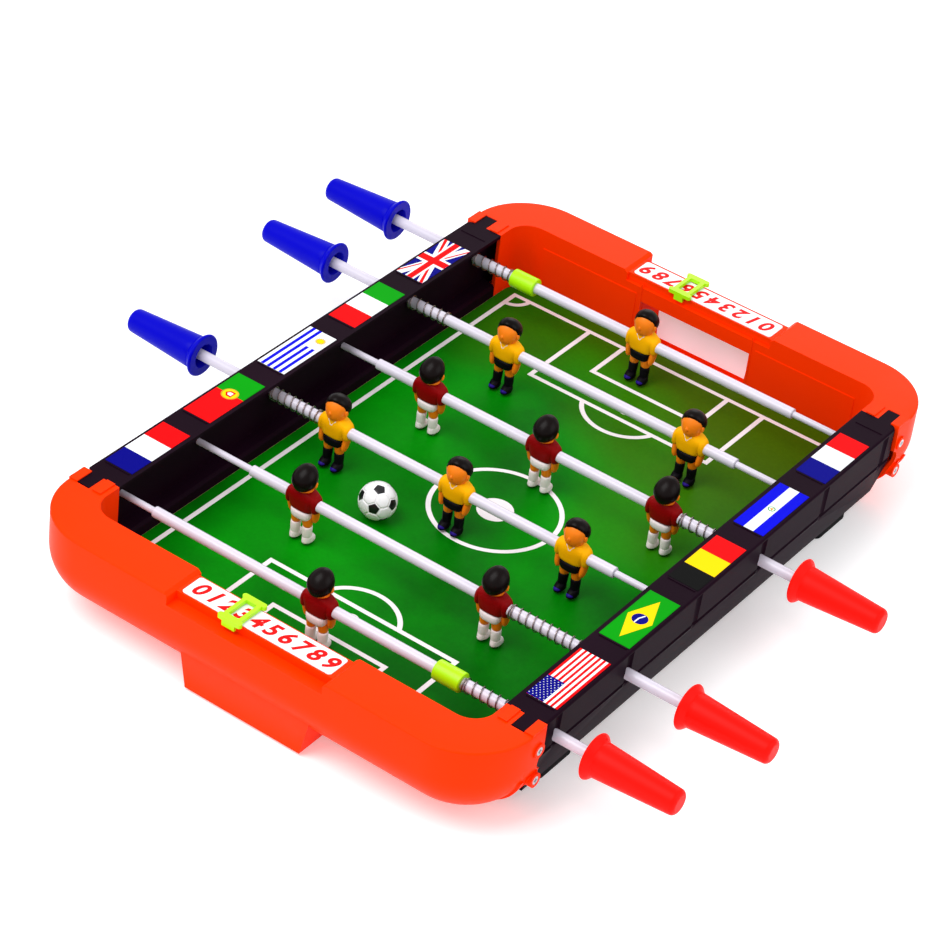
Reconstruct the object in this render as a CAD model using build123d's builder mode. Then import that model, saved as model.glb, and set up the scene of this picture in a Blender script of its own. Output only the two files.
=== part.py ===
"""Table-top foosball game: a six-rod mini table with telescoping rods, sprung returns and sliding score markers.

Millimetres, +Z up. X runs along the pitch from the near goal to the far goal, Y runs along the rods.
The origin is the centre of the footprint, on the surface that the feet stand on.
"""
import os
from build123d import *

# ---- driving dimensions ----
ROD_PITCH = 70.0          # distance between neighbouring rods
HALF_LENGTH = 244.0       # outer end of the end caps
HALF_WIDTH = 165.0        # outer face of the cap arms
OPEN_LENGTH = 214.0       # half the play opening, along X
OPEN_WIDTH = 138.0        # half the play opening, along Y
CORNER_OUTER = 43.0
CORNER_INNER = 15.0
WALL = 2.4
RIM_Z = 63.0              # top of the rails and of the cap ledges
BODY_Z = 9.5              # underside of the body, above the feet
CAP_ROUND = 31.0          # quarter-round of the caps' outer walls
JOINT_X = 188.0           # plane where a rail meets a cap
SEAM = 0.2

BOARD_Z = 12.0
BOARD_THICK = 3.6
SHEET_THICK = 0.4
PITCH_Z = BOARD_Z + BOARD_THICK + SHEET_THICK
LIP = 4.5                 # ledge under the edge of the pitch board

ROD_Z = 47.0
TUBE_R = 3.5
TUBE_BORE_R = 2.18
CORE_R = 2.1
RUN_GAP = 0.09            # radial clearance of every running fit
TUBE_VISIBLE = 309.5      # tube length from its free end to the handle's face
TUBE_GRIP = 42.0          # length of the tube that is held in the handle
HANDLE_LENGTH = 57.0
CORE_END = 40.0           # how far past the middle a core reaches towards its handle

RAIL_WALL_Y = 147.6       # rail's play-side wall, where the springs seat
RAIL_FACE_Y = 164.0       # rail's outer face, where a pushed-in handle stops
SPRING_WIRE = 0.8
SPRING_TURN_R = TUBE_R + 0.8

BALL_R = 12.0
BALL_AT = (-56.0, 48.0)

SCORE_STEP = 10.2         # distance from one score digit to the next
SCORE_DIGITS = 10
RECESS_Z = 61.0           # top of the plate under the score strip
RECESS_HALF = 55.0
RAMP = 3.5                # run of the slope at each end of the recess
STEP_DROP = 5.6           # how far the steps beside the plate lie below it
STRIP_INNER = 217.2
STRIP_OUTER = 234.2

FLAG_LENGTH = 51.8
FLAG_SHIFT = -8.0
FLAG_INNER = 140.8
FLAG_OUTER = 161.4

PLAYER_HALF_Y = 11.6
TORSO_DEPTH = 10.4
HIP_Z = 34.0
SHOULDER_Z = 53.2
HEAD_Z = 62.9
HEAD_R = 7.7
BOOT_Z = 17.4

# Each rod: name, place along X in rod pitches, side of its handle, team, players along Y,
# gap between the handle and the rail at rest, and the spring's inner end.
RODS = [
    ("rod_1", -2.5, -1, "red", [0.0], 24.0, 101.6),
    ("rod_2", -1.5, -1, "red", [67.0, -71.0], 39.4, 83.0),
    ("rod_3", -0.5, 1, "yellow", [98.0, 7.0, -78.0], 38.0, 110.0),
    ("rod_4", 0.5, -1, "red", [79.0, -7.0, -95.0], 26.0, 107.0),
    ("rod_5", 1.5, 1, "yellow", [71.0, -68.0], 44.0, 117.0),
    ("rod_6", 2.5, 1, "yellow", [14.0], 46.4, 116.6),
]
COLLARED = {"rod_1": -92.0, "rod_6": 107.0}
COLLAR_LENGTH = 18.0
COLLAR_R = 6.2

os.makedirs("parts", exist_ok=True)
written = []


def save(part, name):
    """Label a finished piece and write its STEP file."""
    part.label = name
    export_step(part, f"parts/{name}.step")
    written.append(name)


def half_turn(part):
    """The same piece at the other end of the table."""
    return part.rotate(Axis.Z, 180)


# ---- end caps: ledge, quarter-round outer wall, inner wall, goal box ----
GOAL_HALF_TOP = 42.0
GOAL_HALF_FLOOR = 38.8
GOAL_BACK_X = 240.0
GOAL_FLOOR_Z = 1.4
GOAL_TOP_Z = 45.0
ARM_MID_Y = 154.6         # middle of the tongue that joins a rail to a cap
TONGUE_HALF = 4.4
TONGUE_REACH = 13.0
PAD_LENGTH = 13.0
PAD_RISE = 0.9
SCREW_X = JOINT_X + 6.0
SCREW_Z = (49.0, 28.0)
BOSS_R = 4.6
BOSS_RISE = 1.2
RIB_RISE = 1.0

with BuildPart() as cap_form:
    with BuildSketch(Plane.XY.offset(BODY_Z)):
        RectangleRounded(2 * HALF_LENGTH, 2 * HALF_WIDTH, CORNER_OUTER)
    extrude(amount=RIM_Z - BODY_Z)
    fillet(cap_form.edges().group_by(Axis.Z)[0], CAP_ROUND)
    fillet(cap_form.edges().group_by(Axis.Z)[-1], 1.2)

with BuildPart() as cap_hollow:
    with BuildSketch(Plane.XY.offset(BODY_Z + WALL)):
        RectangleRounded(2 * (HALF_LENGTH - WALL), 2 * (HALF_WIDTH - WALL), CORNER_OUTER - WALL)
    extrude(amount=RIM_Z - BODY_Z - 2 * WALL)
    fillet(cap_hollow.edges().group_by(Axis.Z)[0], CAP_ROUND - WALL)
    with BuildSketch(Plane.XY):
        RectangleRounded(2 * (OPEN_LENGTH + WALL), 2 * (OPEN_WIDTH + WALL), CORNER_INNER + WALL)
    extrude(amount=RIM_Z, mode=Mode.SUBTRACT)

with BuildPart() as end_cap:
    add(cap_form.part)
    add(cap_hollow.part, mode=Mode.SUBTRACT)
    # goal box: a tray that hangs below the wall, narrower at its floor
    with BuildSketch(Plane.YZ.offset(OPEN_LENGTH - LIP)):
        with BuildLine():
            Polyline((-48, GOAL_TOP_Z + 2), (48, GOAL_TOP_Z + 2), (48, 36), (41.2, GOAL_FLOOR_Z),
                     (-41.2, GOAL_FLOOR_Z), (-48, 36), close=True)
        make_face()
    extrude(amount=GOAL_BACK_X - OPEN_LENGTH + LIP)
    # the play opening, and the smaller opening under the pitch board that leaves a lip
    with BuildSketch(Plane.XY.offset(BOARD_Z)):
        RectangleRounded(2 * OPEN_LENGTH, 2 * OPEN_WIDTH, CORNER_INNER)
    extrude(amount=RIM_Z, mode=Mode.SUBTRACT)
    with BuildSketch(Plane.XY):
        RectangleRounded(2 * (OPEN_LENGTH - LIP), 2 * (OPEN_WIDTH - LIP), CORNER_INNER - LIP)
    extrude(amount=RIM_Z, mode=Mode.SUBTRACT)
    split(bisect_by=Plane.YZ.offset(JOINT_X + SEAM), keep=Keep.TOP)
    # the goal mouth and the inside of the tray
    with BuildSketch(Plane.YZ.offset(OPEN_LENGTH - 0.3)):
        with BuildLine():
            Polyline((-GOAL_HALF_TOP, GOAL_TOP_Z), (GOAL_HALF_TOP, GOAL_TOP_Z),
                     (GOAL_HALF_FLOOR, GOAL_FLOOR_Z + WALL), (-GOAL_HALF_FLOOR, GOAL_FLOOR_Z + WALL), close=True)
        make_face()
    extrude(amount=GOAL_BACK_X - WALL - OPEN_LENGTH + 0.3, mode=Mode.SUBTRACT)
    with BuildSketch(Plane.YZ.offset(OPEN_LENGTH - LIP - 1)):
        with Locations((0, (BOARD_Z + GOAL_TOP_Z) / 2)):
            Rectangle(2 * GOAL_HALF_TOP, GOAL_TOP_Z - BOARD_Z)
    extrude(amount=LIP + 3, mode=Mode.SUBTRACT)
    # score recess: a hollow plate for the strip with ramped ends, and a lower step on each side of it
    plate_x = (STRIP_INNER + STRIP_OUTER) / 2
    with BuildSketch(Plane.XY.offset(RECESS_Z - STEP_DROP - WALL)):
        with Locations(((OPEN_LENGTH + HALF_LENGTH) / 2, 0)):
            Rectangle(HALF_LENGTH - OPEN_LENGTH - 2 * WALL + 1, 2 * (RECESS_HALF + RAMP + WALL))
    extrude(amount=RIM_Z - 1 - RECESS_Z + STEP_DROP + WALL)
    with BuildSketch(Plane.XY.offset(RECESS_Z - STEP_DROP - WALL)):
        with Locations((plate_x, 0)):
            Rectangle(STRIP_OUTER - STRIP_INNER - 2 * WALL, 2 * (RECESS_HALF - WALL))
    extrude(amount=STEP_DROP, mode=Mode.SUBTRACT)
    with BuildSketch(Plane.YZ.offset(OPEN_LENGTH - 1)):
        with BuildLine():
            Polyline((-RECESS_HALF - RAMP, RIM_Z + 1), (-RECESS_HALF, RECESS_Z), (RECESS_HALF, RECESS_Z),
                     (RECESS_HALF + RAMP, RIM_Z + 1), close=True)
        make_face()
    extrude(amount=HALF_LENGTH, mode=Mode.SUBTRACT)
    step_width = (STRIP_INNER - OPEN_LENGTH - 1.0, HALF_LENGTH - STRIP_OUTER - 1.0)
    with BuildSketch(Plane.XY.offset(RECESS_Z - STEP_DROP)):
        with Locations((OPEN_LENGTH + step_width[0] / 2 - 1, 0)):
            Rectangle(step_width[0] + 2, 2 * RECESS_HALF)
        with Locations((HALF_LENGTH - step_width[1] / 2 + 1, 0)):
            Rectangle(step_width[1] + 2, 2 * RECESS_HALF)
    extrude(amount=2 * STEP_DROP, mode=Mode.SUBTRACT)
    # raised panels and the goal frame's ribs on the play side of the wall
    with BuildSketch(Plane.YZ.offset(OPEN_LENGTH + 0.2)):
        for side in (-1, 1):
            with Locations((side * 83, 34)):
                Rectangle(74, 31)
            with Locations((side * (GOAL_HALF_TOP + 0.6), 37.5)):
                Rectangle(1.2, 41)
    extrude(amount=-0.6)
    for side in (-1, 1):
        # slot for the rail's tongue, with a raised pad on each side of it
        with BuildSketch(Plane.XY.offset(RIM_Z - 2.7)):
            with Locations((JOINT_X + TONGUE_REACH / 2, side * ARM_MID_Y)):
                Rectangle(TONGUE_REACH + 0.6, 2 * TONGUE_HALF + 0.6)
        extrude(amount=6, mode=Mode.SUBTRACT)
        pad_x = JOINT_X + SEAM + PAD_LENGTH / 2
        with BuildSketch(Plane.XY.offset(RIM_Z - 0.5)):
            with Locations((pad_x, side * 144.2), (pad_x, side * 162.0)):
                Rectangle(PAD_LENGTH, 6)
        extrude(amount=0.5 + PAD_RISE)
        # finger ribs round the arm's lower edge
        for step in range(3):
            with BuildSketch(Plane.YZ.offset(JOINT_X + 3 + 6.5 * step)):
                with Locations((side * (HALF_WIDTH - CAP_ROUND), BODY_Z + CAP_ROUND)):
                    Circle(CAP_ROUND + RIB_RISE)
                    Circle(CAP_ROUND - 1, mode=Mode.SUBTRACT)
                with Locations((side * HALF_WIDTH, BODY_Z)):
                    Rectangle(1.5 * CAP_ROUND, 1.5 * CAP_ROUND, mode=Mode.INTERSECT)
            extrude(amount=3)
        # screw bosses on the arm's outer face
        for z in SCREW_Z:
            with BuildSketch(Plane.XZ.offset(-side * (HALF_WIDTH - 12))):
                with Locations((SCREW_X, z)):
                    Circle(BOSS_R)
            extrude(amount=-side * (12 + BOSS_RISE))
            with BuildSketch(Plane.XZ.offset(-side * (HALF_WIDTH - 0.4))):
                with Locations((SCREW_X, z)):
                    Circle(2.8)
            extrude(amount=-side * 3, mode=Mode.SUBTRACT)
            with BuildSketch(Plane.XZ.offset(-side * (HALF_WIDTH - 14))):
                with Locations((SCREW_X, z)):
                    Circle(1.5)
            extrude(amount=-side * 20, mode=Mode.SUBTRACT)
        # scallop between the bosses, in the arm's end
        with BuildSketch(Plane.XZ.offset(-side * (ARM_MID_Y + TONGUE_HALF))):
            with Locations((JOINT_X - 1.5, sum(SCREW_Z) / 2)):
                Circle(6.5)
        extrude(amount=-side * 10, mode=Mode.SUBTRACT)

save(end_cap.part, "end_cap_far")
save(half_turn(end_cap.part), "end_cap_near")

# ---- side rails: an open-bottomed channel with grooved panels, holes for tubes and cores ----
LEDGE_Z = 24.0
BAND_Z = 39.0

with BuildPart() as side_rail:
    with BuildSketch(Plane.YZ.offset(-JOINT_X)):
        with BuildLine():
            Polyline((-OPEN_WIDTH, RIM_Z), (-RAIL_FACE_Y, RIM_Z), (-RAIL_FACE_Y + 0.6, BAND_Z + 3),
                     (-RAIL_FACE_Y + 2.6, BAND_Z + 1.6), (-RAIL_FACE_Y + 2.6, BAND_Z + 0.8),
                     (-RAIL_FACE_Y + 1.2, BAND_Z - 0.6), (-155, BODY_Z), (-OPEN_WIDTH + LIP, BODY_Z),
                     (-OPEN_WIDTH + LIP, BOARD_Z), (-OPEN_WIDTH, BOARD_Z), (-OPEN_WIDTH, LEDGE_Z - 2),
                     (-OPEN_WIDTH - 1.5, LEDGE_Z), (-RAIL_WALL_Y, LEDGE_Z + 1.5), (-RAIL_WALL_Y, RIM_Z - 2.5),
                     (-OPEN_WIDTH, RIM_Z - 2.5), close=True)
        make_face()
        with BuildLine():
            Polyline((-OPEN_WIDTH - WALL, 0), (-OPEN_WIDTH - WALL, LEDGE_Z - 2.4), (-RAIL_WALL_Y - WALL, LEDGE_Z - 0.8),
                     (-RAIL_WALL_Y - WALL, RIM_Z - 2.6), (-RAIL_FACE_Y + WALL, RIM_Z - 2.6),
                     (-RAIL_FACE_Y + 3.0, BAND_Z + 4.5), (-RAIL_FACE_Y + 5.0, BAND_Z + 2.6),
                     (-RAIL_FACE_Y + 5.0, BAND_Z - 0.6), (-152.6, BODY_Z), (-152.6, 0), close=True)
        make_face(mode=Mode.SUBTRACT)
    extrude(amount=2 * JOINT_X)
    fillet(side_rail.edges().filter_by(Axis.X).group_by(Axis.Z)[-1].sort_by(Axis.Y)[0], 1.5)
    # rounded outer corners in plan, then end walls that close the channel
    with BuildSketch(Plane.XY):
        with Locations((0, 0)):
            RectangleRounded(2 * JOINT_X, 2 * RAIL_FACE_Y, 5)
    extrude(amount=RIM_Z + 1, mode=Mode.INTERSECT)
    for x in (-JOINT_X, JOINT_X - WALL):
        with BuildSketch(Plane.YZ.offset(x)):
            with BuildLine():
                Polyline((-141, 11), (-152, 11), (-158, 37), (-160, 44), (-160, RIM_Z - 2), (-149, RIM_Z - 2),
                         (-149, LEDGE_Z), (-141, LEDGE_Z - 3), close=True)
            make_face()
        extrude(amount=WALL)
    for side in (-1, 1):
        # tongue in the cap's slot, and the hollow tenon that the cap's screws bite into
        with BuildSketch(Plane.XY.offset(RIM_Z - 2.4)):
            with Locations((side * (JOINT_X + TONGUE_REACH / 2 - 1), -ARM_MID_Y)):
                Rectangle(TONGUE_REACH + 1, 2 * TONGUE_HALF)
        extrude(amount=2.4)
        with BuildSketch(Plane.YZ.offset(side * (JOINT_X - 1))):
            with Locations((-149.5, 34)):
                Rectangle(3, 32)
        extrude(amount=side * (TONGUE_REACH + 1))
    for slot in range(6):
        x = (slot - 2.5) * ROD_PITCH
        # moulded groove down the outer face and a raised line across the top
        with BuildSketch(Plane.XY):
            with Locations((x, -RAIL_FACE_Y - 2.2)):
                Circle(4.0)
        extrude(amount=RIM_Z - 1.5, mode=Mode.SUBTRACT)
        with BuildSketch(Plane.XY.offset(RIM_Z - 0.1)):
            with Locations((x, -151)):
                SlotOverall(19, 1.2, rotation=90)
        extrude(amount=0.5)
    for name, place, handle_side, team, players, gap, spring_end in RODS:
        hole_r = (TUBE_R if handle_side < 0 else CORE_R) + RUN_GAP
        depth = 40 if handle_side < 0 else 14
        with BuildSketch(Plane.XZ.offset(OPEN_WIDTH)):
            with Locations((place * ROD_PITCH, ROD_Z)):
                Circle(hole_r)
        extrude(amount=depth, mode=Mode.SUBTRACT)

save(side_rail.part, "side_rail_right")
save(half_turn(side_rail.part), "side_rail_left")

# ---- pitch board and its printed sheet ----
BOARD_GAP = 0.3

with BuildPart() as pitch_board:
    with BuildSketch(Plane.XY.offset(BOARD_Z)):
        RectangleRounded(2 * (OPEN_LENGTH - BOARD_GAP), 2 * (OPEN_WIDTH - BOARD_GAP), CORNER_INNER - BOARD_GAP)
    extrude(amount=BOARD_THICK)
save(pitch_board.part, "pitch_board")

with BuildPart() as pitch_sheet:
    with BuildSketch(Plane.XY.offset(BOARD_Z + BOARD_THICK)):
        RectangleRounded(2 * (OPEN_LENGTH - 0.8), 2 * (OPEN_WIDTH - 0.8), CORNER_INNER - 0.8)
    extrude(amount=SHEET_THICK)
save(pitch_sheet.part, "pitch_sheet")

# ---- white panel at the back of each goal box ----
with BuildPart() as goal_net:
    with BuildSketch(Plane.YZ.offset(GOAL_BACK_X - WALL - 1.0)):
        with BuildLine():
            Polyline((-40.8, 43), (40.8, 43), (38.6, 8), (-38.6, 8), close=True)
        make_face()
    extrude(amount=1.0)
save(goal_net.part, "goal_net_far")
save(half_turn(goal_net.part), "goal_net_near")

# ---- score strips and their sliding markers ----
with BuildPart() as score_strip:
    with BuildSketch(Plane.XY.offset(RECESS_Z)):
        with Locations(((STRIP_INNER + STRIP_OUTER) / 2, 0)):
            RectangleRounded(STRIP_OUTER - STRIP_INNER, 2 * 52.5, 2.0)
    extrude(amount=0.5)
save(score_strip.part, "score_strip_far")
save(half_turn(score_strip.part), "score_strip_near")

MARKER_MID_X = (STRIP_INNER + STRIP_OUTER) / 2 + 0.6
MARKER_FLOOR = RECESS_Z + 0.9
MARKER_THICK = 2.6
FRAME_LENGTH = 25.0
GRIP = 1.8                # thickness of the marker's hook and skirt


def score_marker(name, end, digit):
    """A window frame with four ears that hooks over the strip's plate at one end of the table."""
    y = end * (SCORE_STEP * digit - SCORE_STEP * (SCORE_DIGITS - 1) / 2)
    with BuildPart() as marker:
        with BuildSketch(Plane.XY.offset(MARKER_FLOOR)):
            with Locations((end * MARKER_MID_X, y)):
                RectangleRounded(FRAME_LENGTH, 12.4, 1.5)
                for ear_x in (1.7 - FRAME_LENGTH / 2, FRAME_LENGTH / 2 - 1.7):
                    with Locations((ear_x, 0)):
                        SlotOverall(16.6, 3.4, rotation=90)
                RectangleRounded(16.0, 7.6, 1.0, mode=Mode.SUBTRACT)
        extrude(amount=MARKER_THICK)
        # hook beside the plate's inner face, and skirt beside its outer face
        with BuildSketch(Plane.XY.offset(RECESS_Z - 2.6)):
            with Locations((end * (MARKER_MID_X - FRAME_LENGTH / 2 + GRIP / 2), y)):
                Rectangle(GRIP, 6.5)
            with Locations((end * (MARKER_MID_X + FRAME_LENGTH / 2 - GRIP / 2), y)):
                Rectangle(GRIP, 9)
        extrude(amount=2.6 + MARKER_FLOOR - RECESS_Z + 1)
    save(marker.part, name)


score_marker("score_marker_near", -1, 3)
score_marker("score_marker_far", 1, 6)

# ---- national flag stickers, one group per rail ----
for rail_name, rail_side in (("right", -1), ("left", 1)):
    with BuildPart() as flags:
        with BuildSketch(Plane.XY.offset(RIM_Z)):
            for slot in range(5):
                with Locations(((slot - 2) * ROD_PITCH + FLAG_SHIFT, rail_side * (FLAG_INNER + FLAG_OUTER) / 2)):
                    Rectangle(FLAG_LENGTH, FLAG_OUTER - FLAG_INNER)
        extrude(amount=0.25)
    save(flags.part, f"flag_stickers_{rail_name}")

# ---- feet, and the screws that hold the table together ----
FOOT_X = 149.0

with BuildPart() as feet:
    for sx in (-1, 1):
        for sy in (-1, 1):
            with BuildSketch(Plane.XY):
                with Locations((sx * FOOT_X, sy * 146.5)):
                    RectangleRounded(34, 11.5, 4)
            extrude(amount=BODY_Z + 5)
    fillet(feet.edges().group_by(Axis.Z)[0], 1.0)
save(feet.part, "feet")

with BuildPart() as cap_screws:
    for sx in (-1, 1):
        for sy in (-1, 1):
            for z in SCREW_Z:
                with BuildSketch(Plane.XZ.offset(-sy * (HALF_WIDTH - 0.4))):
                    with Locations((sx * SCREW_X, z)):
                        Circle(2.6)
                extrude(amount=-sy * 1.5)
                with BuildSketch(Plane.XZ.offset(-sy * (HALF_WIDTH - 13.6))):
                    with Locations((sx * SCREW_X, z)):
                        Circle(1.4)
                extrude(amount=-sy * 14)
                with BuildSketch(Plane.XZ.offset(-sy * (HALF_WIDTH + 0.5))):
                    with Locations((sx * SCREW_X, z)):
                        Rectangle(3.4, 0.7)
                        Rectangle(0.7, 3.4)
                extrude(amount=-sy * 1.0, mode=Mode.SUBTRACT)
save(cap_screws.part, "cap_screws")

BOARD_SCREWS = [(x, y) for x in (-175, -60, 60, 175) for y in (-135.7, 135.7)]

with BuildPart() as board_screws:
    for x, y in BOARD_SCREWS:
        with BuildSketch(Plane.XY.offset(BODY_Z - 1.6)):
            with Locations((x, y)):
                Circle(2.1)
        extrude(amount=1.6)
save(board_screws.part, "board_screws")

# ---- ball ----
with BuildPart() as ball:
    with Locations((BALL_AT[0], BALL_AT[1], PITCH_Z + BALL_R + 0.3)):
        Sphere(BALL_R)
save(ball.part, "ball")


# ---- rods ----
def along_rod(x, y):
    """Plane across a rod, facing +Y, at the place y along it."""
    return Plane(origin=(x, y, ROD_Z), x_dir=(1, 0, 0), z_dir=(0, 1, 0))


def rod_core(name, x, side):
    """Thin rod that turns in the rail opposite the handle, held by a collar inside that rail."""
    head_y = -side * (RAIL_WALL_Y + WALL + 0.35)
    with BuildPart() as core:
        with BuildSketch(along_rod(x, -side * (RAIL_FACE_Y - 5.6))):
            Circle(CORE_R)
        extrude(amount=side * (RAIL_FACE_Y - 5.6 + CORE_END))
        with BuildSketch(along_rod(x, head_y)):
            Circle(CORE_R + 1.6)
        extrude(amount=-side * 3)
        chamfer(core.edges().filter_by(GeomType.CIRCLE).sort_by(Axis.Y)[-1 if side > 0 else 0], 0.5)
    save(core.part, f"{name}_core")


def rod_tube(name, x, side, gap):
    """Thick tube that slides over the core and out through the rail to the handle."""
    face_y = RAIL_FACE_Y + gap
    free_y = face_y - TUBE_VISIBLE
    with BuildPart() as tube:
        with BuildSketch(along_rod(x, side * free_y)):
            Circle(TUBE_R)
            Circle(TUBE_BORE_R, mode=Mode.SUBTRACT)
        extrude(amount=side * (TUBE_VISIBLE + TUBE_GRIP))
        rims = tube.edges().filter_by(GeomType.CIRCLE).sort_by(Axis.Y)
        outer_rim = (rims[:2] if side > 0 else rims[-2:]).sort_by(SortBy.RADIUS)[-1]
        chamfer(outer_rim, 0.4)
    save(tube.part, f"{name}_tube")


def rod_handle(name, x, side, gap):
    """Hollow tapered grip with a flared cup at the end that faces the rail."""
    face_y = side * (RAIL_FACE_Y + gap)
    with BuildPart() as handle:
        with BuildSketch(Plane(origin=(x, face_y, ROD_Z), x_dir=(1, 0, 0), z_dir=(0, 0, 1))):
            with BuildLine():
                Polyline((8.0, 0), (13.2, 0))
                Spline((13.2, 0), (14.0, side * 1.2), (13.2, side * 2.6), (10.8, side * 6.0))
                Line((10.8, side * 6.0), (7.9, side * (HANDLE_LENGTH - 3)))
                ThreePointArc((7.9, side * (HANDLE_LENGTH - 3)), (6.8, side * (HANDLE_LENGTH - 0.8)),
                              (4.6, side * HANDLE_LENGTH))
                Polyline((4.6, side * HANDLE_LENGTH), (0, side * HANDLE_LENGTH), (0, side * TUBE_GRIP),
                         (TUBE_R, side * TUBE_GRIP),
                         (TUBE_R, side * 11.0), (5.6, side * 9.0))
                Spline((5.6, side * 9.0), (6.4, side * 4.5), (8.0, 0))
            make_face()
        revolve(axis=Axis((x, 0, ROD_Z), (0, 1, 0)))
    save(handle.part, f"{name}_handle")


def rod_spring(name, x, side, inner_end):
    """Compression spring over the tube, between the rail and the first thing fixed to the tube."""
    start_y = side * (RAIL_WALL_Y - 0.9)
    length = RAIL_WALL_Y - 1.8 - inner_end
    turns = round(length / 5.4)
    with BuildPart() as spring:
        with BuildLine() as coil:
            Helix(length / turns, length, SPRING_TURN_R, center=(x, start_y, ROD_Z), direction=(0, -side, 0))
        with BuildSketch(Plane(origin=coil.line @ 0, z_dir=coil.line % 0)):
            Circle(SPRING_WIRE / 2)
        sweep(path=coil.line, is_frenet=True)
    save(spring.part, f"{name}_spring")


def rod_collar(name, x, y):
    """Stop collar pressed onto a goalkeeper's tube."""
    with BuildPart() as collar:
        with BuildSketch(along_rod(x, y - COLLAR_LENGTH / 2)):
            Circle(COLLAR_R)
            Circle(TUBE_R, mode=Mode.SUBTRACT)
        extrude(amount=COLLAR_LENGTH)
        fillet(collar.edges().filter_by(GeomType.CIRCLE).group_by(SortBy.RADIUS)[-1], 0.8)
    save(collar.part, f"{name}_collar")


def player(name, x, y, facing):
    """One moulded player, pressed onto the tube through the shoulders."""
    with BuildPart() as figure:
        # torso with squared shoulders, then neck and head
        with BuildSketch(Plane(origin=(x - TORSO_DEPTH / 2, y, 0), x_dir=(0, 1, 0), z_dir=(1, 0, 0))):
            with BuildLine():
                Polyline((-7.6, HIP_Z), (7.6, HIP_Z), (8.4, 44.0), (PLAYER_HALF_Y, 46.0), (PLAYER_HALF_Y, 50.6),
                         (9.0, SHOULDER_Z), (-9.0, SHOULDER_Z), (-PLAYER_HALF_Y, 50.6),
                         (-PLAYER_HALF_Y, 46.0), (-8.4, 44.0), close=True)
            make_face()
        extrude(amount=TORSO_DEPTH)
        with Locations((x, y, SHOULDER_Z + 1.8)):
            Cylinder(4.2, 8)
        with Locations((x, y, HEAD_Z)):
            Sphere(HEAD_R)
        for side in (-1, 1):
            # arm, leg and boot
            with Locations((x, y + side * 9.35, 39.2)):
                Cylinder(2.2, 13.5)
            with Locations((x, y + side * 4.4, 29.2)):
                Cone(3.1, 3.9, 14)
            with BuildSketch(Plane.XY.offset(BOOT_Z)):
                with Locations((x + facing * 1.7, y + side * 4.5)):
                    RectangleRounded(11, 7, 3)
            extrude(amount=6.5)
        with BuildSketch(along_rod(x, y - 2 * PLAYER_HALF_Y)):
            Circle(TUBE_R)
        extrude(amount=4 * PLAYER_HALF_Y, mode=Mode.SUBTRACT)
    save(figure.part, name)


for name, place, side, team, players, gap, spring_end in RODS:
    rod_x = place * ROD_PITCH
    rod_core(name, rod_x, side)
    rod_tube(name, rod_x, side, gap)
    rod_handle(name, rod_x, side, gap)
    rod_spring(name, rod_x, side, spring_end)
    if name in COLLARED:
        rod_collar(name, rod_x, COLLARED[name])
    for number, player_y in enumerate(players, start=1):
        player(f"{name}_player_{number}", rod_x, player_y, 1 if team == "red" else -1)

print(len(written), "pieces written")
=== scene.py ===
"""Looks of the table-top foosball game: printed pitch, players, springs, flags, score digits, ball and studio."""

import math

import bmesh
import bpy
from bpy.props import FloatProperty, FloatVectorProperty, IntProperty, PointerProperty
from mathutils import Matrix, Vector


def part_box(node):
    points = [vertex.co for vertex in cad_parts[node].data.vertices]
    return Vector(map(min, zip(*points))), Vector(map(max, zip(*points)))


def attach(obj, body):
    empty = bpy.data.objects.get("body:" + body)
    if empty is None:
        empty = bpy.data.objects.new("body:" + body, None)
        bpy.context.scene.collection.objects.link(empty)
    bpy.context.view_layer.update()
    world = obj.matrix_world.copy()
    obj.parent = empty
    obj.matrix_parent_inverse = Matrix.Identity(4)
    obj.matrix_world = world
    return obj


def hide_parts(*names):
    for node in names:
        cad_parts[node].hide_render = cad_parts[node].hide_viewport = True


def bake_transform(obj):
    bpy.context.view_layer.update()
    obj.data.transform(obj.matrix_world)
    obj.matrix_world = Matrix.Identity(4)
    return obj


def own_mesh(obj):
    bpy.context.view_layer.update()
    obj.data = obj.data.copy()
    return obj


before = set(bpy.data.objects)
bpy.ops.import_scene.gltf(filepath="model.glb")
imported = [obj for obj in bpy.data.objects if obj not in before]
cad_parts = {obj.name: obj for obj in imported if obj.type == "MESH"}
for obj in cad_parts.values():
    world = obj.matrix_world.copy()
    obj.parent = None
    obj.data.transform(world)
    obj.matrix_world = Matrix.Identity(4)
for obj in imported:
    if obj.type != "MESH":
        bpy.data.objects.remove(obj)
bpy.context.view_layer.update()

bl_info = {
    "name": "Foosball table looks",
    "version": (1, 0, 0),
    "blender": (4, 5, 0),
    "location": "View3D > Sidebar > Foosball",
    "description": "Dresses a packed table-top foosball game with its prints, players, springs, ball and studio",
    "category": "Object",
}

MM = 0.001
TUBE_RADIUS = 3.5 * MM
ROD_PITCH = 70 * MM         # from one rod to the next, and from one flag to the next
PRINT_THICK = 0.06 * MM     # printed lines on the pitch
LAYER_THICK = 0.03 * MM     # each layer of a printed flag
DIGIT_THICK = 0.05 * MM
RAIL_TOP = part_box("flag_stickers_right")[0].z
ROD_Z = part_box("rod_1_tube")[0].z + TUBE_RADIUS
SHEET_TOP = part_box("pitch_sheet")[1].z
RODS = ("rod_1", "rod_2", "rod_3", "rod_4", "rod_5", "rod_6")
RED_RODS = ("rod_1", "rod_2", "rod_4")
PLAYERS = {"rod_1": 1, "rod_2": 2, "rod_3": 3, "rod_4": 3, "rod_5": 2, "rod_6": 1}


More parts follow.
